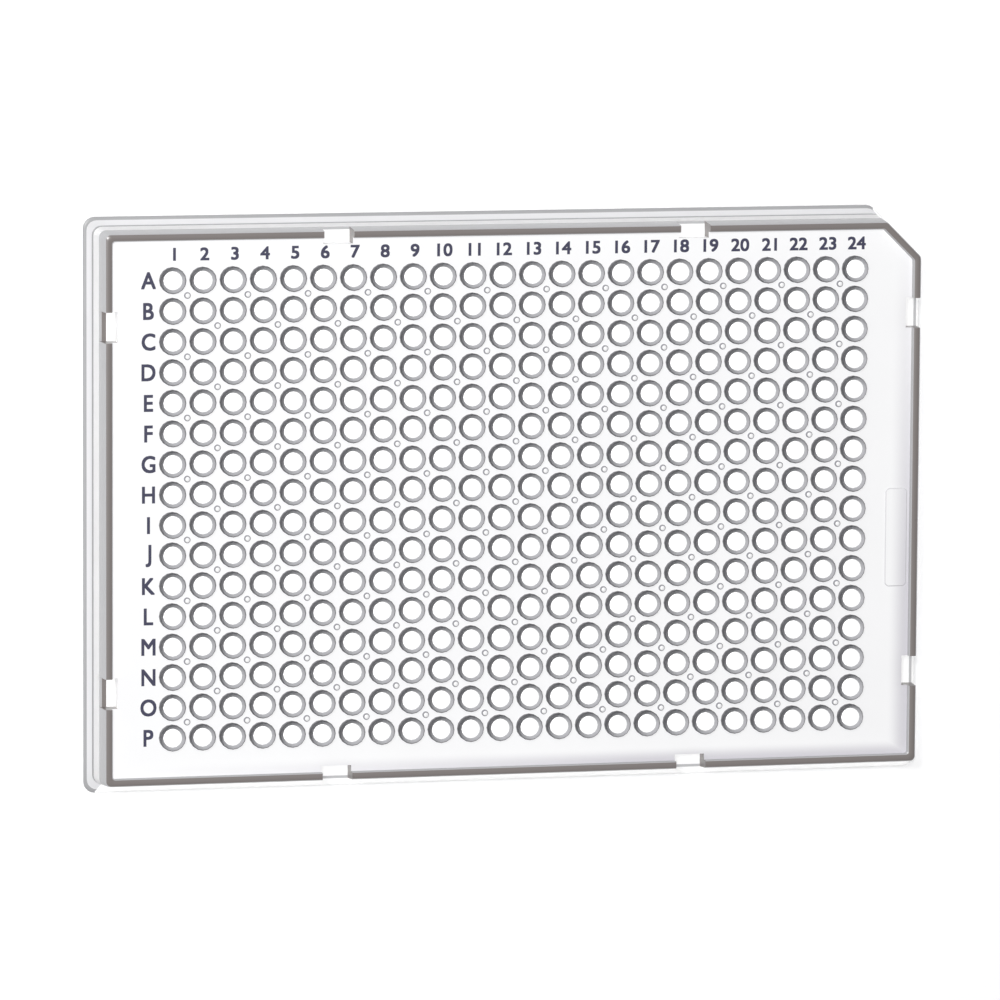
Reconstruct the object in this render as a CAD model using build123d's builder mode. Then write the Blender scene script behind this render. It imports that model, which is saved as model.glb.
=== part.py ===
"""A 384-well plate of clear plastic, moulded in one piece.

The plate stands on the ring under its skirt. A low flange runs round the foot of the skirt, which leans
in as it rises to a rim. Inside the rim lies a thin deck, a little lower. The wells are tapered cups that
hang under the deck, and their mouths stand above it as rings, level with the rim. One corner is cut, so
that the plate goes into its holder one way round, and eight notches in the rim locate it.

X runs along the columns of wells, Y towards the first row, and Z up from the surface it stands on.
"""

import os
from math import atan, degrees, radians, sqrt, tan

from build123d import *

# The whole plate, in millimetres
plate_length = 127.76
plate_width = 85.48
plate_height = 9.7

# Flange round the foot of the skirt
flange_height = 2.4
flange_corner_radius = 1.8
flange_edge_radius = 0.3
ledge_width = 1.4
cut_corner_leg = 7.9
ledge_width_at_cut = 0.4

# Skirt and rim
skirt_thickness = 1.1
skirt_draft = 5.0
skirt_corner_radius = 1.4
hollow_corner_radius = 0.8
rim_width = 1.1
rim_height = 1.0
tray_corner_radius = 0.5

# Deck between the wells
deck_thickness = 1.0

# Wells
columns = 24
rows = 16
pitch = 4.5
mouth_radius = 1.6
ring_width = 0.35
well_depth = 8.6
tip_radius = 0.6
well_wall = 0.35
well_floor = 0.3

# Pips between the wells, one in each second gap
pip_radius = 0.5
pip_height = 0.5

# Locating notches, two on each side
notch_width = 4.5
notch_spacing = 54.0
notch_reach = 2.0
notch_depth = 3.4
notch_wall = 0.9
notch_corner_radius = 0.4

# Raised blank panel on the deck beside the last column
panel_width = 3.5
panel_length = 15.0
panel_height = 0.15
panel_corner_radius = 0.8
panel_gap = 0.3
panel_shift = 6.8

# Levels and slopes that follow from the sizes
deck_top = plate_height - rim_height
deck_underside = deck_top - deck_thickness
draft_slope = tan(radians(skirt_draft))
rim_inset = ledge_width + (plate_height - flange_height) * draft_slope
rim_inset_at_cut = ledge_width_at_cut + (plate_height - flange_height) * draft_slope
foot_wall = skirt_thickness - flange_height * draft_slope
well_slope = (mouth_radius - tip_radius) / well_depth
well_taper = degrees(atan(well_slope))
cup_radius_under_deck = mouth_radius - (plate_height - deck_underside) * well_slope + well_wall
cup_length_under_deck = well_depth + well_floor - (plate_height - deck_underside)


def plate_outline(inset, inset_at_cut, corner_radius):
    """The footprint with its sides moved in by inset and its cut corner by inset_at_cut."""
    half_x = plate_length / 2 - inset
    half_y = plate_width / 2 - inset
    leg = cut_corner_leg - 2 * inset + sqrt(2) * inset_at_cut
    with BuildSketch() as outline:
        with BuildLine():
            Polyline(
                (-half_x, -half_y),
                (half_x, -half_y),
                (half_x, half_y - leg),
                (half_x - leg, half_y),
                (-half_x, half_y),
                close=True,
            )
        make_face()
        fillet(outline.vertices(), corner_radius)
    return outline.sketch


def notch_outlines(width, reach, corner_radius):
    """Eight rectangles that reach in from the edge of the footprint, where the notches are."""
    along = (-notch_spacing / 2, notch_spacing / 2)
    with BuildSketch() as outlines:
        with Locations([(x, y) for x in along for y in (-plate_width / 2, plate_width / 2)]):
            Rectangle(width, 2 * reach)
        with Locations([(x, y) for x in (-plate_length / 2, plate_length / 2) for y in along]):
            Rectangle(2 * reach, width)
        fillet(outlines.vertices(), corner_radius)
    return outlines.sketch


def well_outlines(radius):
    """A circle at the axis of each well."""
    with BuildSketch() as outlines:
        with GridLocations(pitch, pitch, columns, rows):
            Circle(radius)
    return outlines.sketch


with BuildPart() as well_plate:
    # Flange: a low slab with its upper edge rounded
    with BuildSketch():
        add(plate_outline(0, 0, flange_corner_radius))
    extrude(amount=flange_height)
    fillet(well_plate.edges().group_by(Axis.Z)[-1], flange_edge_radius)

    # Skirt, solid for now, leaning in from the ledge to the rim
    with BuildSketch(Plane.XY.offset(flange_height)):
        add(plate_outline(ledge_width, ledge_width_at_cut, skirt_corner_radius))
    extrude(amount=plate_height - flange_height, taper=skirt_draft)

    # Hollow under the deck, which leaves the skirt one wall thick
    foot_inset = ledge_width + foot_wall
    with BuildSketch():
        add(plate_outline(foot_inset, ledge_width_at_cut + foot_wall, hollow_corner_radius))
    extrude(amount=deck_underside, taper=skirt_draft, mode=Mode.SUBTRACT)

    # Tray inside the rim, down to the deck
    with BuildSketch(Plane.XY.offset(deck_top)):
        add(plate_outline(rim_inset + rim_width, rim_inset_at_cut + rim_width, tray_corner_radius))
    extrude(amount=rim_height, mode=Mode.SUBTRACT)

    # Housings that close the notches off from the hollow, kept behind the skirt's outer face
    housing_reach = rim_inset + notch_reach + notch_wall
    housing_floor = plate_height - notch_depth - notch_wall
    with BuildSketch(Plane.XY.offset(housing_floor)):
        add(notch_outlines(notch_width + 2 * notch_wall, housing_reach, notch_corner_radius))
        add(plate_outline(foot_inset, ledge_width_at_cut + foot_wall, hollow_corner_radius), mode=Mode.INTERSECT)
    extrude(amount=deck_underside - housing_floor)

    # Notches, open upwards and outwards
    with BuildSketch(Plane.XY.offset(plate_height)):
        add(notch_outlines(notch_width, rim_inset + notch_reach, notch_corner_radius))
    extrude(amount=-notch_depth, mode=Mode.SUBTRACT)

    # Wells: raised rings on the deck, cups under it, then the tapered bores through both
    with BuildSketch(Plane.XY.offset(deck_top)):
        add(well_outlines(mouth_radius + ring_width))
    extrude(amount=rim_height)
    with BuildSketch(Plane.XY.offset(deck_underside)):
        add(well_outlines(cup_radius_under_deck))
    extrude(amount=-cup_length_under_deck, taper=well_taper)
    with BuildSketch(Plane.XY.offset(plate_height)):
        add(well_outlines(mouth_radius))
    extrude(amount=-well_depth, taper=well_taper, mode=Mode.SUBTRACT)

    # Pips: two grids of double pitch, one set in the gaps of the other
    with BuildSketch(Plane.XY.offset(deck_top)):
        with GridLocations(2 * pitch, 2 * pitch, columns // 2, rows // 2):
            Circle(pip_radius)
        with GridLocations(2 * pitch, 2 * pitch, columns // 2 - 1, rows // 2 - 1):
            Circle(pip_radius)
    extrude(amount=pip_height)

    # Blank panel
    panel_x = plate_length / 2 - rim_inset - rim_width - panel_gap - panel_width / 2
    with BuildSketch(Plane.XY.offset(deck_top)):
        with Locations((panel_x, -panel_shift)):
            RectangleRounded(panel_width, panel_length, panel_corner_radius)
    extrude(amount=panel_height)

well_plate.part.label = "well_plate"
os.makedirs("parts", exist_ok=True)
export_step(well_plate.part, "parts/well_plate.step")
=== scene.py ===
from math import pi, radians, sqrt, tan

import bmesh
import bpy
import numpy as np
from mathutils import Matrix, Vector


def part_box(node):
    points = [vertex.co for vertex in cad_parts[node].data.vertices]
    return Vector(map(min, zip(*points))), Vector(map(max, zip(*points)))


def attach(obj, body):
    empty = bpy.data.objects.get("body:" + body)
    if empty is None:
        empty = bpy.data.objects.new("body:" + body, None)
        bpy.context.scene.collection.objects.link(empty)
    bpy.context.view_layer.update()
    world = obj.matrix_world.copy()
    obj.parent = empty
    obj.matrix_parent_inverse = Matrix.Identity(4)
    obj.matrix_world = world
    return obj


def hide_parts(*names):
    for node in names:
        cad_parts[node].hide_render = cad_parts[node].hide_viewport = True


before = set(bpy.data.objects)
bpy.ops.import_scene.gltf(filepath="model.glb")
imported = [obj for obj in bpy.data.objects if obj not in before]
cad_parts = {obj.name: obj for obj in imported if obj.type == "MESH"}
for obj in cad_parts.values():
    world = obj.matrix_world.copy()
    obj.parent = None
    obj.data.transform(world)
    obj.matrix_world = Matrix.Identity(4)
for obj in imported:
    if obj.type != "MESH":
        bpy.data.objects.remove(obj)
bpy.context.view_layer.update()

# %% [markdown]
# # A 384-well plate in natural plastic
# The real thing is one thin moulding: a deck with 384 tapered wells hanging under it, their mouths
# standing above it as rings, and a skirt round the outside. It could be cut out of a block with
# booleans, but 384 cuts are slow and leave ragged faces. Here the whole moulding is worked out as one
# closed mesh from arrays of points. Where light has a long way through the real plastic it comes out grey;
# here that grey is painted shade, so the rings, the rim and the edges get darker finishes than the deck.
# Pips, a blank panel and the printed rows and columns are added, and the plate lies on a pale table
# under one soft lamp.

MM = 0.001
low, high = (np.array(corner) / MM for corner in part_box("well_plate"))
LENGTH, WIDTH, HEIGHT = high - low
print(f"CAD box of the plate: {LENGTH:.2f} x {WIDTH:.2f} x {HEIGHT:.2f} mm")

# %% [markdown]
# ## Sizes
# The mesh repeats the plate's sizes in millimetres. A well plate is laid out on a square grid, so
# nearly everything follows from the pitch of the wells and from a few wall thicknesses. An inset is a
# distance in from the outer edge of the flange, and a level is a height above the table.

# %% Sizes of the plate, in millimetres
COLUMNS, ROWS, PITCH = 24, 16, 4.5
DECK_TOP, DECK_UNDERSIDE = HEIGHT - 1.0, HEIGHT - 2.0
DRAFT = tan(radians(5))

# A well: radii of the bore's mouth, of the raised ring outside and of the flat end. The lip leans in
# like a funnel to its own radius and depth, and below BRIGHT_DEPTH the bore shows as white all round.
MOUTH, RING, TIP, WELL_DEPTH = 1.6, 1.95, 0.6, 8.6
BORE_BOTTOM = HEIGHT - WELL_DEPTH
BORE_SLOPE = (MOUTH - TIP) / WELL_DEPTH
WELL_WALL, WELL_FLOOR = 0.35, 0.3
LIP, LIP_DEPTH = 1.4, 0.3
BRIGHT, BRIGHT_DEPTH = 1.29, 1.6

# The border: flange, the ledge on it, the cut corner, skirt, rim and tray. CREASE and LINE are the
# widths of two bands with a finish of their own, at the foot of the skirt and at the flange's edge.
FLANGE, FLANGE_CORNER, FLANGE_EDGE = 2.4, 1.8, 0.3
LEDGE, LEDGE_AT_CUT, CUT_LEG = 1.4, 0.4, 7.9
SKIRT_WALL, SKIRT_CORNER, HOLLOW_CORNER = 1.1, 1.4, 0.8
HOUSING_CORNER, HOLLOW_TOP_CORNER = 0.35, 0.15
RIM_WIDTH, TRAY_CORNER, EDGE, BEVEL_BULGE = 1.1, 0.5, 0.12, 0.02
RIM_CORNER, BEVEL_CORNER, FLOOR_CORNER, CREASE_CORNER = 0.7, 0.8, 1.05, 1.3
CREASE, LINE, LINE_AT_CUT = 0.9, 0.3, 0.05

NOTCH_WIDTH, NOTCH_SPACING, NOTCH_REACH = 4.5, 54.0, 2.0
NOTCH_FLOOR, NOTCH_WALL = HEIGHT - 3.4, 0.9

RIM = LEDGE + (HEIGHT - FLANGE) * DRAFT
FOOT = LEDGE + SKIRT_WALL - FLANGE * DRAFT
print(f"rim starts {RIM:.2f} mm in from the edge, hollow {FOOT:.2f} mm in")

# %% [markdown]
# ## Building a mesh from arrays
# A surface is a grid of points, and a face is four neighbours in that grid. Working with whole arrays,
# each patch gives the corners of all its faces at once. The patches are then welded: corners that fall
# on the same place become one vertex, so neighbouring patches join without a seam.

# %% Patches and welding
def strip(rows):
    """Faces between each row of points and the next: corners (i, j), (i, j+1), (i+1, j+1), (i+1, j)."""
    return np.stack([rows[..., :-1, :-1, :], rows[..., :-1, 1:, :],
                     rows[..., 1:, 1:, :], rows[..., 1:, :-1, :]], axis=-2)


def weld(zones):
    """Vertices, faces and each face's zone number. Corners are rounded to a tenth of a micron and matched;
    a face with two equal neighbours is a triangle."""
    faces, corners, owners, start = [], [], [], 0
    for number, patch in [(number, patch) for number, patches in enumerate(zones) for patch in patches]:
        flat = patch.reshape(-1, *patch.shape[-2:])
        count = flat.shape[0] * flat.shape[1]
        faces.append(np.arange(start, start + count).reshape(flat.shape[:2]))
        corners.append(flat.reshape(-1, 3))
        owners.append(number)
        start += count
    spots, index = np.unique(np.round(np.concatenate(corners), 4), axis=0, return_inverse=True)
    index = index.ravel()
    result, zone_of = [], []
    for block, number in zip(faces, owners):
        block = index[block]
        doubled = block == np.roll(block, -1, axis=1)
        plain = block[~doubled.any(axis=1)]
        bent = block[doubled.sum(axis=1) == 1]
        first = doubled[doubled.sum(axis=1) == 1].argmax(axis=1)
        turns = (first[:, None] + 1 + np.arange(block.shape[1] - 1)) % block.shape[1]
        result += plain.tolist() + np.take_along_axis(bent, turns, axis=1).tolist()
        zone_of += [number] * (len(plain) + len(bent))
    return spots, result, zone_of


def solid(name, zones):
    """A closed object made of patches in millimetres, faces outwards, each face with its zone's number as
    material index.
    """
    spots, faces, zone_of = weld(zones)
    mesh = bpy.data.meshes.new(name)
    mesh.from_pydata((spots * MM).tolist(), [], faces)
    mesh.polygons.foreach_set("material_index", zone_of)
    work = bmesh.new()
    work.from_mesh(mesh)
    bmesh.ops.recalc_face_normals(work, faces=work.faces)
    loose = sum(not edge.is_manifold for edge in work.edges)
    volume = work.calc_volume() / MM**3
    work.to_mesh(mesh)
    work.free()
    made = bpy.data.objects.new(name, mesh)
    bpy.context.collection.objects.link(made)
    triangles = sum(len(face.vertices) - 2 for face in mesh.polygons)
    print(f"{name}: {len(faces)} faces, {triangles} triangles, {loose} open edges, {volume:.0f} mm3")
    return made


# %% [markdown]
# ## The wells
# Each well takes a square of the deck, one pitch wide. Going inwards from the edge of its square there is
# flat deck, the wall of the raised ring, the ring's lip, which leans in like a shallow funnel, then the
# tapered bore down to its flat end. Underneath, the same square carries the outside of the cup. So a well
# is a stack of rows of points: a square first, and circles after it. The lip's slope makes each ring
# dark on the side nearest the lamp and pale on the far side. Sixteen spokes are enough for a mouth of
# 3 mm, and keep 384 wells light.

# %% The square and the circles of one well
SPOKES = 16
side = np.array([-PITCH / 2, -NOTCH_WALL, 0, NOTCH_WALL, PITCH / 2])


def ring(radius, z):
    """A circle of points, closed, from -45 degrees on: x = r cos a, y = r sin a."""
    angle = np.linspace(-pi / 4, 7 * pi / 4, SPOKES + 1)
    return np.stack([radius * np.cos(angle), radius * np.sin(angle), np.full_like(angle, z)], axis=-1)


def square(z):
    """The edge of one pitch square, closed, from the same corner as the circle and with as many points."""
    half, ahead, back = np.full(4, PITCH / 2), side[:-1], side[:0:-1]
    x = np.concatenate([half, back, -half, ahead, half[:1]])
    y = np.concatenate([ahead, half, back, -half, ahead[:1]])
    return np.stack([x, y, np.full_like(x, z)], axis=-1)


# %% The rows of one well, copied to all the wells
cup = MOUTH - (HEIGHT - DECK_UNDERSIDE) * BORE_SLOPE + WELL_WALL
cup_end = BORE_BOTTOM - WELL_FLOOR
upper = np.stack([square(DECK_TOP), ring(RING, DECK_TOP), ring(RING, HEIGHT - EDGE),
                  ring(RING - EDGE, HEIGHT), ring(LIP, HEIGHT - LIP_DEPTH),
                  ring(BRIGHT, HEIGHT - BRIGHT_DEPTH), ring(TIP, BORE_BOTTOM)])
lower = np.stack([square(DECK_UNDERSIDE), ring(cup, DECK_UNDERSIDE),
                  ring(cup - (DECK_UNDERSIDE - cup_end) * BORE_SLOPE, cup_end)])

x = (np.arange(COLUMNS) - (COLUMNS - 1) / 2) * PITCH
y = ((ROWS - 1) / 2 - np.arange(ROWS)) * PITCH
centres = np.stack([*np.meshgrid(x, y), np.zeros((ROWS, COLUMNS))], axis=-1).reshape(-1, 1, 1, 3)
deck = [strip(centres + upper[:2]), strip(centres + lower), centres[:, 0] + lower[-1, :-1]]
ring_walls = [strip(centres + upper[1:4])]
lips = [strip(centres + upper[3:5])]
bores = [strip(centres + upper[4:]), centres[:, 0] + upper[-1, :-1]]
print(f"{len(centres)} wells of {sum(len(rows) - 1 for rows in (upper, lower)) * SPOKES + 2} faces each")

# %% [markdown]
# ## The border
# Round the block of wells run closed rows of points, each a copy of the footprint moved in by some
# amount and set at its own height: tray, rim, skirt, flange, and back up inside the hollow. The points
# along each side stand straight out from the squares of the wells, so both grids meet. Three corners are
# round and one is cut off at a slant.

# %% Closed rows of points round the plate
along_x = np.unique(np.round((x[:, None] + side).ravel(), 6))
along_y = np.unique(np.round((y[:, None] + side).ravel(), 6))
CORNER_POINTS = 6


def corner(half_x, half_y, leg, radius):
    """Points round the upper right corner. Plain (leg 0): a quarter circle inside the corner. Cut: two
    eighths of a circle, where the slanting line meets the two sides."""
    if leg == 0:
        angle = np.linspace(0, pi / 2, CORNER_POINTS)
        centre_x, centre_y = half_x - radius, half_y - radius
    else:
        eighth = np.linspace(0, pi / 4, CORNER_POINTS // 2)
        angle = np.concatenate([eighth, eighth + pi / 4])
        reach = radius * tan(pi / 8)
        first = np.arange(CORNER_POINTS) < CORNER_POINTS // 2
        centre_x = np.where(first, half_x - radius, half_x - leg - reach)
        centre_y = np.where(first, half_y - leg - reach, half_y - radius)
    return centre_x + radius * np.cos(angle), centre_y + radius * np.sin(angle)


def closed_row(half_x, half_y, corners, z):
    """Right side, corner, top side and so on, anticlockwise, ending on the first point again."""
    far_x, far_y = np.full_like(along_y, half_x), np.full_like(along_x, half_y)
    (cut_x, cut_y), (arc_x, arc_y) = corners
    up_to_cut = np.minimum(along_y, cut_y[0])
    row_x = [far_x, cut_x, along_x[::-1], -arc_x[::-1], -far_x, -arc_x, along_x, arc_x[::-1], far_x[:1]]
    row_y = [up_to_cut, cut_y, far_y, arc_y[::-1], along_y[::-1], -arc_y, -far_y, -arc_y[::-1], along_y[:1]]
    row_x, row_y = np.concatenate(row_x), np.concatenate(row_y)
    return np.stack([row_x, row_y, np.full_like(row_x, z)], axis=-1)


def border_row(inset, inset_at_cut, radius, z):
    """The footprint moved in by inset, and its cut side by inset_at_cut."""
    half_x, half_y = LENGTH / 2 - inset, WIDTH / 2 - inset
    leg = CUT_LEG - 2 * inset + sqrt(2) * inset_at_cut
    corners = corner(half_x, half_y, leg, radius), corner(half_x, half_y, 0, radius)
    return closed_row(half_x, half_y, corners, z)


def field_row(z):
    """The edge of the block of wells, where each corner is one point, repeated."""
    spot = np.ones(CORNER_POINTS)
    corners = [(spot * along_x[-1], spot * along_y[-1])] * 2
    return closed_row(along_x[-1], along_y[-1], corners, z)


# %% The rows from the wells out over the rim, down the skirt, round the flange and back underneath
tray = RIM + RIM_WIDTH
pocket = RIM + NOTCH_REACH
floor_inset = RIM - (HEIGHT - NOTCH_FLOOR) * DRAFT
housing = pocket + NOTCH_WALL
housing_floor = NOTCH_FLOOR - NOTCH_WALL
hollow = FOOT + housing_floor * DRAFT
hollow_top = FOOT + DECK_UNDERSIDE * DRAFT


def sloping(inset, radius, z):
    """A border row whose cut side stays as far from the other sides as the ledge puts it."""
    return border_row(inset, inset - LEDGE + LEDGE_AT_CUT, radius, z)


edge_step = FLANGE_EDGE * (1 - sqrt(0.5))
border = np.stack([
    field_row(DECK_TOP),
    sloping(pocket, TRAY_CORNER, DECK_TOP),
    sloping(tray, TRAY_CORNER, DECK_TOP),
    sloping(tray, TRAY_CORNER, HEIGHT - EDGE),
    sloping(tray - EDGE, TRAY_CORNER, HEIGHT),
    sloping(RIM + EDGE, RIM_CORNER, HEIGHT),
    sloping(RIM + DRAFT * EDGE - BEVEL_BULGE, BEVEL_CORNER, HEIGHT - EDGE),
    sloping(floor_inset, FLOOR_CORNER, NOTCH_FLOOR),
    sloping(LEDGE + CREASE * DRAFT, CREASE_CORNER, FLANGE + CREASE),
    sloping(LEDGE, SKIRT_CORNER, FLANGE),
    border_row(FLANGE_EDGE + LINE, FLANGE_EDGE + LINE_AT_CUT, FLANGE_CORNER - FLANGE_EDGE, FLANGE),
    border_row(FLANGE_EDGE, FLANGE_EDGE, FLANGE_CORNER - FLANGE_EDGE, FLANGE),
    border_row(edge_step, edge_step, FLANGE_CORNER - edge_step, FLANGE - edge_step),
    border_row(0, 0, FLANGE_CORNER, FLANGE - FLANGE_EDGE),
    border_row(0, 0, FLANGE_CORNER, 0),
    sloping(FOOT, HOLLOW_CORNER, 0),
    sloping(hollow, HOUSING_CORNER, housing_floor),
    sloping(hollow_top, HOLLOW_TOP_CORNER, DECK_UNDERSIDE),
    sloping(housing, HOLLOW_TOP_CORNER, DECK_UNDERSIDE),
    field_row(DECK_UNDERSIDE),
])
print(f"{len(border)} closed rows of {border.shape[1] - 1} points")

# %% [markdown]
# ## The locating notches
# A notch is a pocket cut down through rim, tray and skirt, open to the outside, and a housing of one
# wall thickness closes it off from the hollow below. On the mesh, the faces of the border that lie
# across a notch are left out, and the pocket's own walls and floor go in their place.

# %% Openings in the border
# The strips between the border's rows, from the deck outwards: 0 and 1 deck and tray floor, 2 tray wall,
# 3 inner bevel, 4 rim, 5 outer bevel, 6 and 7 skirt, 8 crease at its foot, 9 ledge, 10 line at the edge,
# 11 and 12 rounding, 13 side of the flange, 14 foot, 15 and 16 hollow, 17 and 18 under the deck.
FIRST_CUT, LAST_CUT, FIRST_HOUSED, LAST_HOUSED = 1, 6, 16, 17
band = strip(border)
middle = band.mean(axis=-2)
level = np.arange(len(band))[:, None]
on_long = (abs(middle[..., 1]) > along_y[-1]) & (abs(middle[..., 0]) < along_x[-1])
on_short = (abs(middle[..., 0]) > along_x[-1]) & (abs(middle[..., 1]) < along_y[-1])
along = np.where(on_long, abs(middle[..., 0]), np.where(on_short, abs(middle[..., 1]), np.inf))
off = abs(along - NOTCH_SPACING / 2)
opened = (off < NOTCH_WIDTH / 2) & (level >= FIRST_CUT) & (level <= LAST_CUT)
opened |= (off < NOTCH_WIDTH / 2 + NOTCH_WALL) & (level >= FIRST_HOUSED) & (level <= LAST_HOUSED)
print(f"{opened.sum()} faces of the border give way to the notches")


# %% Patches carried along a notch
half, inner = NOTCH_WIDTH / 2, NOTCH_WIDTH / 2 - NOTCH_WALL
across = np.array([-half, -inner, 0, inner, half])
across_housing = np.concatenate([[-half - NOTCH_WALL], across, [half + NOTCH_WALL]])


def swept(stations, profile):
    """A profile of (inset, z) points carried along a notch: x is along the edge, y is the inset."""
    return np.stack([np.stack([stations, np.full_like(stations, inset), np.full_like(stations, z)], axis=-1)
                     for inset, z in profile])


def ends(reach, profile):
    """The flat side walls at the two ends of a swept profile."""
    points = swept(np.array([-reach, reach]), profile)
    return [points[:, 0], points[::-1, 1]]


def around(patch):
    """A patch in (along, inset, z) set at the two notches of each side: front, left, back and right at one
    end of the sides, then the same four at the other end."""
    copies = []
    for shift in (-NOTCH_SPACING / 2, NOTCH_SPACING / 2):
        t, inset, z = np.moveaxis(patch + np.array([shift, 0, 0]), -1, 0)
        for sign in (-1, 1):
            copies.append(np.stack([t, sign * (WIDTH / 2 - inset), z], axis=-1))
            copies.append(np.stack([sign * (LENGTH / 2 - inset), t, z], axis=-1))
    return np.stack(copies)


# %% Pockets and housings
# The pocket's floor is laid in three parts, because the sill and the brink outside it have finishes of
# their own. A profile's point n lies on the border's row n, between strips n - 1 and n.
SILL_FROM, SILL_TO = 0.4, 1.05
profile = [(WIDTH / 2 - row[len(along_y) + CORNER_POINTS, 1], row[0, 2]) for row in border]
pocket_back = (pocket, NOTCH_FLOOR)
sill_in, sill_out = (floor_inset + SILL_TO, NOTCH_FLOOR), (floor_inset + SILL_FROM, NOTCH_FLOOR)
housing_back = (housing, housing_floor)
pockets = around(strip(swept(across, [profile[1], pocket_back, sill_in])))
sills = around(strip(swept(across, [sill_in, sill_out])))
brinks = around(strip(swept(across, [sill_out, profile[7]])))
pocket_ends = [around(end) for end in ends(half, [*profile[1:8], sill_out, sill_in, pocket_back])]
housings = [around(strip(swept(across_housing, [profile[16], housing_back, profile[18]]))),
            *[around(end) for end in ends(half + NOTCH_WALL, [*profile[16:19], housing_back])]]
print(f"{len(sills)} notches, {NOTCH_WIDTH} mm wide and {HEIGHT - NOTCH_FLOOR:.1f} mm deep")

# %% [markdown]
# ## Zones of the moulding
# One plastic doesn't look the same all over. Edges and thick corners send light sideways and come out
# grey, flat skins stay white; that grey is painted shade in the zones' colours. Each zone of the one mesh
# is a list of patches, and gets one finish. The flange has grey painted shade along the two sides that
# face the lamp and is left pale along the other two, as painted light where the light shines through it.
# Zones that meet share their points, so the mesh stays closed.

# %% The plate as one mesh in nine zones
# A face of the border gets grey painted shade if it lies this close to the left or the back edge, the
# lamp's side. The sills of the notches come in the order of around: the second and the sixth are on the
# left, and get the rim's painted shade.
PAINTED_SHADE_REACH, LEFT, OTHER_SIDES = 3.0, [1, 5], [0, 2, 3, 4, 6, 7]
lamp_side_painted_shade = (middle[..., 0] < PAINTED_SHADE_REACH - LENGTH / 2) | (middle[..., 1] > WIDTH / 2 - PAINTED_SHADE_REACH)


def border_faces(*strips, kept=~opened):
    """The kept faces of some of the border's strips: as a rule all but those that a notch opens."""
    return [band[number][kept[number]] for number in strips]


skirt_strips, flange_strips = (7, 12, 13, 14, 15, 16), (8, 9, 10, 11)
zones = {
    "deck": deck + border_faces(0, 1, 17, 18),
    "lip": lips,
    "bore": bores,
    "rim": border_faces(4) + pocket_ends + [sills[LEFT]],
    "skirt": (border_faces(*skirt_strips) + border_faces(*flange_strips, kept=~lamp_side_painted_shade)
              + [pockets, *housings, sills[OTHER_SIDES]]),
    "ring_wall": ring_walls,
    "shoulder": border_faces(2, 3, 5, 6) + [brinks],
    "flange_edge": border_faces(8, 10, 11, kept=lamp_side_painted_shade),
    "ledge": border_faces(9, kept=lamp_side_painted_shade),
}
plate = solid("plate_body", list(zones.values()))

# %% [markdown]
# ## Pips
# Between the wells, in every second gap, stands a small round pip. It could be a cylinder from Blender's
# own menu, but a profile turned about its own axis gives the rounded top as well, and adding it to all
# the places at once makes every pip in one step.

# %% Pips: a turned profile, copied to every second gap
def turned(profile, steps):
    """A profile of (radius, z) turned about Z: x = r cos a, y = r sin a, as one patch of faces."""
    angle = np.linspace(0, 2 * pi, steps + 1)
    radius, z = np.array(profile).T[:, :, None]
    return strip(np.stack([radius * np.cos(angle), radius * np.sin(angle), z + 0 * angle], axis=-1))


PIP, PIP_HEIGHT, PIP_STEPS, SUNK = 0.5, 0.5, 12, 0.05
FLANK_DROP, ROUND_DROP, ROUND_SHARE, FLAT_SHARE = 0.3, 0.06, 0.7, 0.35
pip_foot, pip_top = DECK_TOP - SUNK, DECK_TOP + PIP_HEIGHT
rounding = (PIP * ROUND_SHARE, pip_top - ROUND_DROP)
foot = turned([(0, pip_foot), (PIP, pip_foot)], PIP_STEPS)
flank = turned([(PIP, pip_foot), (PIP, pip_top - FLANK_DROP), rounding], PIP_STEPS)
crown = turned([rounding, (PIP * FLAT_SHARE, pip_top), (0, pip_top)], PIP_STEPS)
gap_x, gap_y = np.meshgrid((x[:-1] + x[1:]) / 2, (y[:-1] + y[1:]) / 2)
chosen = np.add.outer(np.arange(ROWS - 1), np.arange(COLUMNS - 1)) % 2 == 0
spots = np.stack([gap_x[chosen], gap_y[chosen], np.zeros(chosen.sum())], axis=-1)
pips = solid("pips", [[spots[:, None, None, None] + part for part in zone]
                      for zone in ((foot, crown), (flank,))])
print(f"{len(spots)} pips")

# %% [markdown]
# ## The blank panel
# Beside the last column a bare raised panel gives a place to write on. Its outline is a rectangle with
# round corners, worked out as a small circle whose four quarters are pushed apart. A second, slightly
# smaller outline above the first gives the panel a sloping edge that catches the light; that edge also
# gets the ledge's light grey painted shade as an outline.

# %% The blank panel: a slab with a rounded outline
PANEL_WIDTH, PANEL_LENGTH, PANEL_HEIGHT, PANEL_CORNER = 3.5, 15.0, 0.15, 0.8
PANEL_GAP, PANEL_SHIFT, PANEL_SLOPE = 0.3, 6.8, 0.2


def outline(inset, z, steps=24):
    """A rounded rectangle: each point of a small circle, pushed out to the corner that it belongs to."""
    angle = (np.arange(steps + 1) + 0.5) / steps * 2 * pi
    half_x, half_y = PANEL_WIDTH / 2 - inset, PANEL_LENGTH / 2 - inset
    radius = PANEL_CORNER - inset
    x_out = (half_x - radius) * np.sign(np.cos(angle)) + radius * np.cos(angle)
    y_out = (half_y - radius) * np.sign(np.sin(angle)) + radius * np.sin(angle)
    return np.stack([x_out, y_out, np.full_like(angle, z)], axis=-1)


panel_spot = np.array([LENGTH / 2 - tray - PANEL_GAP - PANEL_WIDTH / 2, -PANEL_SHIFT, 0])
low_row, high_row = outline(0, DECK_TOP - SUNK), outline(PANEL_SLOPE, DECK_TOP + PANEL_HEIGHT)
caps = [panel_spot + low_row[:-1][None], panel_spot + high_row[:-1][None]]
panel = solid("blank_panel", [caps, [panel_spot + strip(np.stack([low_row, high_row]))]])

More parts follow.
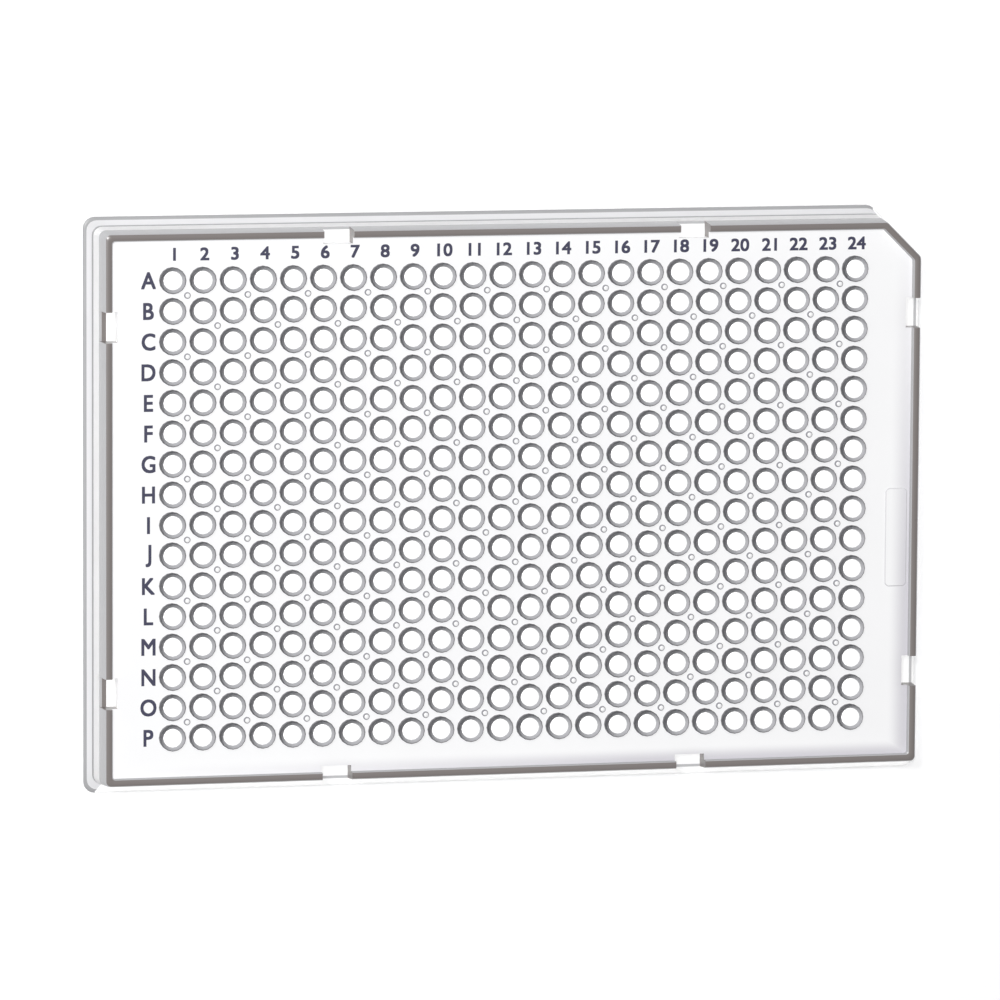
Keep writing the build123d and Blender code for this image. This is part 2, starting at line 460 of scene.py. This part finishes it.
# %% [markdown]
# ## Printed rows and columns
# The letters A to P and the numbers 1 to 24 are screen-printed ink on the deck. They could be a picture on
# the surface, but a thin mesh stays sharp at any distance. Each word is typed with Blender's own font, made
# a flat mesh, scaled to its real height, and given its thickness by a wall along its outline.

# %% A word as a flat mesh, and a slab made of it
INK, BOLD, LAYER = 0.02, 0.07, 0.002


def typed(word):
    """The corners and faces of a word in Blender's own font, flat, with the corners that meet welded."""
    text = bpy.data.curves.new(word, "FONT")
    text.body, text.align_x, text.align_y, text.resolution_u = word, "CENTER", "CENTER", 4
    holder = bpy.data.objects.new(word, text)
    bpy.context.collection.objects.link(holder)
    flat = bpy.data.meshes.new_from_object(holder.evaluated_get(bpy.context.evaluated_depsgraph_get()))
    spots = np.zeros(len(flat.vertices) * 3)
    flat.vertices.foreach_get("co", spots)
    spots, index = np.unique(np.round(spots.reshape(-1, 3)[:, :2], 5), axis=0, return_inverse=True)
    faces = index.ravel()[[face.vertices for face in flat.polygons]]
    bpy.data.objects.remove(holder)
    bpy.data.meshes.remove(flat)
    return spots, faces


def slab(spots, faces, bottom, top):
    """A closed slab over flat triangles: the same faces above and, turned over, below. An edge that only one
    face has is on the outline, and stands up as a wall."""
    edges = np.concatenate([faces[:, [0, 1]], faces[:, [1, 2]], faces[:, [2, 0]]])
    rim_edges = [edge for edge in edges.tolist() if not (edges == edge[::-1]).all(axis=1).any()]
    count = len(spots)
    walls = [[start, end, end + count, start + count] for start, end in rim_edges]
    rows = [np.column_stack([spots, np.full(count, z)]) for z in (bottom, top)]
    return np.concatenate(rows), faces[:, ::-1].tolist() + (faces + count).tolist() + walls


# %% Rows of words as one thin mesh
def lettering(name, words, places, height, widen):
    """Words as one thin mesh. Each is centred on its place and scaled by height / the height of an H. It is
    laid down four times, a little to each side, as a heavy print has strokes wider than the font's."""
    capital = np.ptp(typed("H")[0][:, 1])
    all_spots, all_faces, start = [], [], 0
    for word, place in zip(words, places):
        spots, faces = typed(word)
        centre = (spots.max(axis=0) + spots.min(axis=0)) / 2
        scaled = (spots - centre) * np.array([widen, 1]) * (height - 2 * BOLD) / capital
        for layer, shift in enumerate(((-BOLD, -BOLD), (BOLD, -BOLD), (-BOLD, BOLD), (BOLD, BOLD))):
            top = DECK_TOP + INK + LAYER * layer
            laid, sides = slab(scaled + np.array(place) + np.array(shift), faces, DECK_TOP - INK, top)
            all_spots.append(laid)
            all_faces += [[corner + start for corner in side] for side in sides]
            start += len(laid)
    mesh = bpy.data.meshes.new(name)
    mesh.from_pydata((np.concatenate(all_spots) * MM).tolist(), [], all_faces)
    work = bmesh.new()
    work.from_mesh(mesh)
    loose = sum(not edge.is_manifold for edge in work.edges)
    volume = work.calc_volume() / MM**3
    work.free()
    made = bpy.data.objects.new(name, mesh)
    bpy.context.collection.objects.link(made)
    print(f"{name}: {len(words)} words, {len(all_faces)} faces, {loose} open edges, {volume:.2f} mm3")
    return made


LETTER_HEIGHT, LETTER_WIDEN, LETTERS_LEFT = 2.5, 0.9, 3.5
NUMBER_HEIGHT, NUMBER_WIDEN, NUMBERS_UP, NUMBERS_RIGHT = 1.9, 1.1, 3.8, 0.35
letters = lettering("row_letters", [chr(ord("A") + row) for row in range(ROWS)],
                    [(x[0] - LETTERS_LEFT, spot) for spot in y], LETTER_HEIGHT, LETTER_WIDEN)
numbers = lettering("column_numbers", [str(column + 1) for column in range(COLUMNS)],
                    [(spot + NUMBERS_RIGHT, y[0] + NUMBERS_UP) for spot in x], NUMBER_HEIGHT, NUMBER_WIDEN)

# %% [markdown]
# ## Materials
# The plate is injection-moulded polypropylene in its natural colour. It scatters light inside, so it reads
# as milky white where it is thin and grey where an edge is seen end on. A clear, refracting shader was the
# other choice, but it turns each well into a dark lens. One plastic shader therefore serves all zones, and
# only its colour and its gloss differ: that grey is painted shade in the zones' colours. The print is matt
# ink.

# %% Helpers for materials
def linear(code):
    """Linear colour of a hex code: c / 12.92 below 0.04045, else ((c + 0.055) / 1.055) ** 2.4."""
    c = np.array([int(code[i:i + 2], 16) for i in (1, 3, 5)]) / 255
    return (*np.where(c < 0.04045, c / 12.92, ((c + 0.055) / 1.055) ** 2.4), 1.0)


def node(tree, kind, settings=None, values=None, links=None):
    """Adds one node: settings are its own options, values its unlinked inputs, links its fed inputs."""
    made = tree.nodes.new(kind)
    for key, value in (settings or {}).items():
        setattr(made, key, value)
    for key, value in (values or {}).items():
        made.inputs[key].default_value = value
    for key, socket in (links or {}).items():
        tree.links.new(socket, made.inputs[key])
    return made


def blank_material(name):
    """A material with only its output node, and its node tree."""
    made = bpy.data.materials.new(name)
    made.use_nodes = True
    made.node_tree.nodes.clear()
    return made, made.node_tree, node(made.node_tree, "ShaderNodeOutputMaterial")


# %% The painted shade of the skirt under the deck
# Painted shade: its widths in from the right and front rims, its least share, and the slant where it is full
RIGHT_PAINTED_SHADE, FRONT_PAINTED_SHADE, PAINTED_SHADE_LEAST, FULL_AT = 3.2, 2.2, 0.1, 0.6


def painted_skirt_shade(tree, place, colour, code):
    """Mixes painted shade into a colour along the right and front sides of the deck, where the wall of the
    skirt lies under it. It grows with the nearness of the rim, and towards the corner where both sides meet,
    as x / length - y / width does."""
    axes = node(tree, "ShaderNodeSeparateXYZ", links={"Vector": place}).outputs
    right, front = (node(tree, "ShaderNodeMapRange", settings={"interpolation_type": "SMOOTHSTEP"},
                         values={"From Min": start * MM, "From Max": end * MM}, links={"Value": axes[axis]})
                    for axis, start, end in ((0, LENGTH / 2 - tray - RIGHT_PAINTED_SHADE, LENGTH / 2 - tray),
                                             (1, tray + FRONT_PAINTED_SHADE - WIDTH / 2, tray - WIDTH / 2)))
    most = node(tree, "ShaderNodeMath", settings={"operation": "MAXIMUM"},
                links={0: right.outputs["Result"], 1: front.outputs["Result"]})
    slant = node(tree, "ShaderNodeVectorMath", settings={"operation": "DOT_PRODUCT"},
                 values={1: (1 / (LENGTH * MM), -1 / (WIDTH * MM), 0)}, links={0: place})
    share = node(tree, "ShaderNodeMapRange", links={"Value": slant.outputs["Value"]},
                 values={"From Min": 0.0, "From Max": FULL_AT, "To Min": PAINTED_SHADE_LEAST})
    amount = node(tree, "ShaderNodeMath", settings={"operation": "MULTIPLY"},
                  links={0: most.outputs["Value"], 1: share.outputs["Result"]})
    shaded = node(tree, "ShaderNodeMix", settings={"data_type": "RGBA"},
                  links={0: amount.outputs["Value"], 6: colour})
    shaded.inputs[7].default_value = linear(code)
    return shaded.outputs[2]


# %% Moulded plastic
# Flow marks: the noise has 90 features to the metre, so each mark is about 11 mm broad. The bump is weak,
# and leaves a skin that isn't quite even.
FLOW_SCALE, FLOW_DEPTH, FLOW_STRENGTH, PLASTIC_IOR = 90.0, 0.2, 0.05, 1.49
MATT_LEAST, MATT_MOST, DIM = 0.8, 1.2, 0.97


def moulded(name, colour, rough, see_through, pass_on, gloss=0.5, shade=None):
    """A moulded plastic with faint flow marks. To the lamp's light it is clear by the share pass_on."""
    made, tree, output = blank_material(name)
    place = node(tree, "ShaderNodeTexCoord").outputs["Object"]
    flow = node(tree, "ShaderNodeTexNoise", values={"Scale": FLOW_SCALE, "Detail": 4.0},
                links={"Vector": place})
    skin = node(tree, "ShaderNodeBump", values={"Strength": FLOW_STRENGTH, "Distance": FLOW_DEPTH * MM},
                links={"Height": flow.outputs["Fac"]})
    polish = node(tree, "ShaderNodeMapRange", links={"Value": flow.outputs["Fac"]},
                  values={"To Min": rough * MATT_LEAST, "To Max": rough * MATT_MOST})
    tone = node(tree, "ShaderNodeMix", settings={"data_type": "RGBA"}, links={0: flow.outputs["Fac"]})
    plain = linear(colour)
    tone.inputs[6].default_value, tone.inputs[7].default_value = (*(DIM * c for c in plain[:3]), 1.0), plain
    # shade: the colour of the painted shade under the skirt, when one is given
    final = painted_skirt_shade(tree, place, tone.outputs[2], shade) if shade else tone.outputs[2]
    plastic = node(tree, "ShaderNodeBsdfPrincipled",
                   values={"IOR": PLASTIC_IOR, "Transmission Weight": see_through,
                           "Specular IOR Level": gloss},
                   links={"Base Color": final, "Roughness": polish.outputs["Result"],
                          "Normal": skin.outputs["Normal"]})
    path = node(tree, "ShaderNodeLightPath")
    through = node(tree, "ShaderNodeBsdfTransparent", values={"Color": (pass_on, pass_on, pass_on, 1)})
    mixed = node(tree, "ShaderNodeMixShader", links={0: path.outputs["Is Shadow Ray"],
                                                     1: plastic.outputs["BSDF"], 2: through.outputs["BSDF"]})
    tree.links.new(mixed.outputs["Shader"], output.inputs["Surface"])
    return made


# %% Finishes of the moulding
# All are one polypropylene from a polished mould. The colour says how much light the place gives back:
# the greys are painted shade, shaded copies of the one white plastic.
finishes = {
    # flat white skin, with the skirt's soft painted shade in the far corner
    "deck": moulded("polypropylene_natural_moulded", "#FCFCFD", 0.35, 0.0, 0.85, shade="#CFCDD3"),
    # funnel at each mouth: grey painted shade, and matt, so that it doesn't mirror the white bore
    "lip": moulded("polypropylene_lip_painted_shade", "#C2C2C6", 0.42, 0.0, 0.95, gloss=0.0),
    # thin wall lit from both sides: white down to the flat end
    "bore": moulded("polypropylene_natural_bore", "#FDFDFD", 0.4, 0.0, 0.9),
    # the rim seen end on: painted shade, the darkest line of the plate, slightly brown
    "rim": moulded("polypropylene_rim_painted_shade", "#827C7A", 0.3, 0.0, 0.9),
    # thin, part see-through wall: pale, with the table showing in it
    "skirt": moulded("polypropylene_skirt", "#FFFFFF", 0.3, 0.3, 0.9),
    # upright wall of each raised ring: a dark outline of painted shade
    "ring_wall": moulded("polypropylene_ring_wall_painted_shade", "#68686C", 0.35, 0.0, 0.95),
    # top of the skirt beside the rim: mid grey painted shade
    "shoulder": moulded("polypropylene_shoulder_painted_shade", "#BEBEC0", 0.3, 0.0, 0.9),
    # rounded edge of the flange on the lamp's side: a grey line of painted shade
    "flange_edge": moulded("polypropylene_flange_edge_painted_shade", "#A8A8AA", 0.3, 0.0, 0.9),
    # flat ledge between the flange's edge and the skirt, on the lamp's side: light grey painted shade
    "ledge": moulded("polypropylene_ledge_painted_shade", "#E0E0E2", 0.3, 0.0, 0.9),
}
# flank of each pip: a fine grey circle of painted shade round a white top
pip_flank_painted_shade = moulded("polypropylene_pip_flank_painted_shade", "#A0A0A6", 0.35, 0.0, 0.95)
print(f"{len(finishes) + 1} finishes of one plastic")

# %% Screen-printed ink
# Ink through a woven screen is matt and a little uneven. Its grain of 0.3 mm is drawn coarser than a real
# screen's, so that it shows at all.
INK_SCALE = 3000.0
ink, tree, output = blank_material("ink_screen_printed")
place = node(tree, "ShaderNodeTexCoord").outputs["Object"]
grain = node(tree, "ShaderNodeTexNoise", values={"Scale": INK_SCALE, "Detail": 2.0}, links={"Vector": place})
tone = node(tree, "ShaderNodeMix", settings={"data_type": "RGBA"}, links={0: grain.outputs["Fac"]})
tone.inputs[6].default_value, tone.inputs[7].default_value = linear("#33334A"), linear("#47475F")
print_shader = node(tree, "ShaderNodeBsdfPrincipled", values={"Roughness": 0.5},
                    links={"Base Color": tone.outputs[2]})
tree.links.new(print_shader.outputs["BSDF"], output.inputs["Surface"])
print(f"{ink.name}: grain of {1 / (INK_SCALE * MM):.2f} mm")

# %% [markdown]
# ## Finishing the pieces
# Each piece gets one material for each of its zones, in the zones' order, and is tied to the plate's body.
# Faces are smooth, but an edge sharper than 50 degrees stays crisp, so the rim and the rings keep their
# outlines.

# %% Materials, bodies and edges
SHARP = radians(50)
dressed = ((plate, [finishes[zone] for zone in zones]), (pips, [finishes["deck"], pip_flank_painted_shade]),
           (panel, [finishes["deck"], finishes["ledge"]]), (letters, [ink]), (numbers, [ink]))
for piece, materials in dressed:
    for material in materials:
        piece.data.materials.append(material)
    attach(piece, "root")
for piece in (plate, pips):
    piece.data.shade_smooth()
    piece.data.set_sharp_from_angle(angle=SHARP)
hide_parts("well_plate")
print(f"{len(dressed)} pieces dressed")

# %% [markdown]
# ## Light inside the wells
# Milky plastic lights a bore up from all round, and a wall that a plain shader would leave dim glows.
# Real scattering inside the plastic is slow to render, so the bores' shading directions lean upwards
# instead: little at the lip, which keeps its dark side, and more with depth, so that the wall takes light
# as the open deck does. The shape itself isn't changed.

# %% Shading directions that lean upwards in the bores
LEANS = ((RING - EDGE, HEIGHT, 20), (LIP, HEIGHT - LIP_DEPTH, 25),
         (BRIGHT, HEIGHT - BRIGHT_DEPTH, 55), (TIP, BORE_BOTTOM, 65))
NEARBY = 0.01
spots = np.zeros(len(plate.data.vertices) * 3)
plate.data.vertices.foreach_get("co", spots)
spots = spots.reshape(-1, 3) / MM
nearest = [np.clip(np.round(spots[:, axis] / PITCH + (count - 1) / 2), 0, count - 1) - (count - 1) / 2
           for axis, count in ((0, COLUMNS), (1, ROWS))]
inwards = np.stack(nearest, axis=-1) * PITCH - spots[:, :2]
distance = np.hypot(*inwards.T)
leaning = np.zeros_like(spots)
for radius, z, lean in LEANS:
    here = (abs(distance - radius) < NEARBY) & (abs(spots[:, 2] - z) < NEARBY)
    flat = inwards[here] / radius * np.cos(radians(lean))
    leaning[here] = np.column_stack([flat, np.full(here.sum(), np.sin(radians(lean)))])
    print(f"{here.sum()} shading directions lean {lean} degrees at {z:.1f} mm")

# %% The leaning directions at the corners of the lips' and bores' faces
corner_of = np.zeros(len(plate.data.loops), dtype=int)
plate.data.loops.foreach_get("vertex_index", corner_of)
facing = np.zeros(len(corner_of) * 3)
plate.data.corner_normals.foreach_get("vector", facing)
zone_of = np.zeros(len(plate.data.polygons), dtype=int)
plate.data.polygons.foreach_get("material_index", zone_of)
sides_of = np.zeros(len(plate.data.polygons), dtype=int)
plate.data.polygons.foreach_get("loop_total", sides_of)
wells_zones = [list(zones).index("lip"), list(zones).index("bore")]
inside = np.isin(np.repeat(zone_of, sides_of), wells_zones) & leaning[corner_of].any(axis=1)
facing = np.where(inside[:, None], leaning[corner_of], facing.reshape(-1, 3))
plate.data.normals_split_custom_set(facing.tolist())
print(f"{inside.sum()} corners lean")

# %% [markdown]
# ## The table
# The plate lies on a table of matt white card. It could be lit until it is white, but then the plate would
# be too bright as well. A small glow that only the eye, a reflection or a view through the plastic sees
# brings it to white, and leaves the plate's own light and its shadow alone.

# %% Table of white card
# Matt card has no gloss. Its fibres are drawn 2.5 mm broad, which is coarser than real ones. The table
# lies a hair below the plate, so that the two never share a plane.
CARD_SCALE, CARD_DEPTH, CARD_GLOW, TABLE_REACH, TABLE_DROP = 400.0, 0.1, 0.12, 3.0, 0.1
table, tree, output = blank_material("table_white_card")
place = node(tree, "ShaderNodeTexCoord").outputs["Object"]
grain = node(tree, "ShaderNodeTexNoise", values={"Scale": CARD_SCALE}, links={"Vector": place})
fibre = node(tree, "ShaderNodeBump", values={"Strength": 0.05, "Distance": CARD_DEPTH * MM},
             links={"Height": grain.outputs["Fac"]})
card = node(tree, "ShaderNodeBsdfPrincipled", links={"Normal": fibre.outputs["Normal"]},
            values={"Base Color": linear("#FAFAFB"), "Roughness": 0.9, "Specular IOR Level": 0.0})
glow = node(tree, "ShaderNodeEmission", values={"Strength": CARD_GLOW})
both = node(tree, "ShaderNodeAddShader", links={0: card.outputs["BSDF"], 1: glow.outputs["Emission"]})
path = node(tree, "ShaderNodeLightPath").outputs
seen = node(tree, "ShaderNodeMath", settings={"operation": "MAXIMUM"},
            links={0: path["Is Camera Ray"], 1: path["Is Transmission Ray"]})
seen = node(tree, "ShaderNodeMath", settings={"operation": "MAXIMUM"},
            links={0: seen.outputs["Value"], 1: path["Is Glossy Ray"]})
choice = node(tree, "ShaderNodeMixShader", links={0: seen.outputs["Value"], 1: card.outputs["BSDF"],
                                                 2: both.outputs["Shader"]})
tree.links.new(choice.outputs["Shader"], output.inputs["Surface"])

floor_mesh = bpy.data.meshes.new("table")
signs = np.array([(-1, -1), (1, -1), (1, 1), (-1, 1)])
floor_mesh.from_pydata(np.column_stack([signs * TABLE_REACH, np.full(4, -TABLE_DROP * MM)]).tolist(), [],
                       [(0, 1, 2, 3)])
floor = bpy.data.objects.new("table", floor_mesh)
floor.data.materials.append(table)
bpy.context.collection.objects.link(floor)
print(f"{floor.name}: {2 * TABLE_REACH:.0f} m wide, {TABLE_DROP} mm below the plate")

# %% [markdown]
# ## Dark cards
# Clear and glossy things look flat in an all-white room. Studios stand dark cards just outside the view,
# and their reflections draw the edges. Here a ring of black felt stands round the table, unseen itself.

# %% Dark cards round the table
FELT_RADIUS, FELT_LOW, FELT_HIGH, FELT_STEPS = 0.9, 0.02, 0.45, 64
felt, tree, output = blank_material("felt_black")
cloth = node(tree, "ShaderNodeBsdfDiffuse", values={"Color": linear("#202020")})
tree.links.new(cloth.outputs["BSDF"], output.inputs["Surface"])
angle = np.linspace(0, 2 * pi, FELT_STEPS + 1)
wall = np.stack([np.stack([FELT_RADIUS * np.cos(angle), FELT_RADIUS * np.sin(angle),
                           np.full_like(angle, height)], axis=-1) for height in (FELT_LOW, FELT_HIGH)])
cards_mesh = bpy.data.meshes.new("dark_cards")
count = len(angle)
cards_mesh.from_pydata(wall.reshape(-1, 3).tolist(), [],
                       [(i, i + 1, i + count + 1, i + count) for i in range(FELT_STEPS)])
cards = bpy.data.objects.new("dark_cards", cards_mesh)
cards.data.materials.append(felt)
cards.visible_camera = False
bpy.context.collection.objects.link(cards)
print(f"{cards.name}: {FELT_HIGH - FELT_LOW:.2f} m high, {FELT_RADIUS} m from the plate's middle")

# %% [markdown]
# ## Light
# One softbox stands high on the left, behind the first rows, so each ring is dark on that side and pale
# on the other. A weak white world fills the shadows. Together they bring the deck to nearly white.

# %% World and softbox
WORLD_STRENGTH, KEY_PLACE, KEY_SIZE, KEY_POWER = 0.2, (-0.42, 0.30, 1.12), 0.12, 14.2
world = bpy.data.worlds.new("studio")
bpy.context.scene.world = world
world.use_nodes = True
world.node_tree.nodes["Background"].inputs["Color"].default_value = linear("#FFFFFF")
world.node_tree.nodes["Background"].inputs["Strength"].default_value = WORLD_STRENGTH


def softbox(name, place, target, size, power):
    """A square lamp at place, turned so that it shines on the target."""
    lamp = bpy.data.lights.new(name, "AREA")
    lamp.size, lamp.energy = size, power
    holder = bpy.data.objects.new(name, lamp)
    turn = (Vector(target) - Vector(place)).to_track_quat("-Z", "Y")
    holder.matrix_world = Matrix.Translation(place) @ turn.to_matrix().to_4x4()
    bpy.context.collection.objects.link(holder)
    return holder


key = softbox("key_softbox", KEY_PLACE, (0, 0, 0), KEY_SIZE, KEY_POWER)
print(f"{key.name}: {KEY_POWER} W, {Vector(KEY_PLACE).length:.2f} m away")

# %% [markdown]
# ## Camera
# The camera looks down from the left and a little behind, 15 degrees off the vertical, through a long
# lens, so the rows stay nearly parallel. It is turned about its own line of sight until the plate's long
# side runs across the picture.

# %% Camera
LENS, SENSOR, ROLL = 280.5, 36.0, radians(117.8313)
stand = Vector((-0.27075, 0.1451, 1.1201))
aim = Vector((-0.00258, 0.00039, 0.0097))
camera = bpy.data.cameras.new("camera")
camera.lens, camera.sensor_width = LENS, SENSOR
camera.clip_start, camera.clip_end = 0.05, 20.0
holder = bpy.data.objects.new("camera", camera)
facing = (aim - stand).to_track_quat("-Z", "Y").to_matrix().to_4x4()
holder.matrix_world = Matrix.Translation(stand) @ facing @ Matrix.Rotation(ROLL, 4, "Z")
bpy.context.collection.objects.link(holder)
bpy.context.scene.camera = holder
bpy.context.scene.view_settings.view_transform = "Standard"
print(f"camera {(aim - stand).length:.2f} m away")
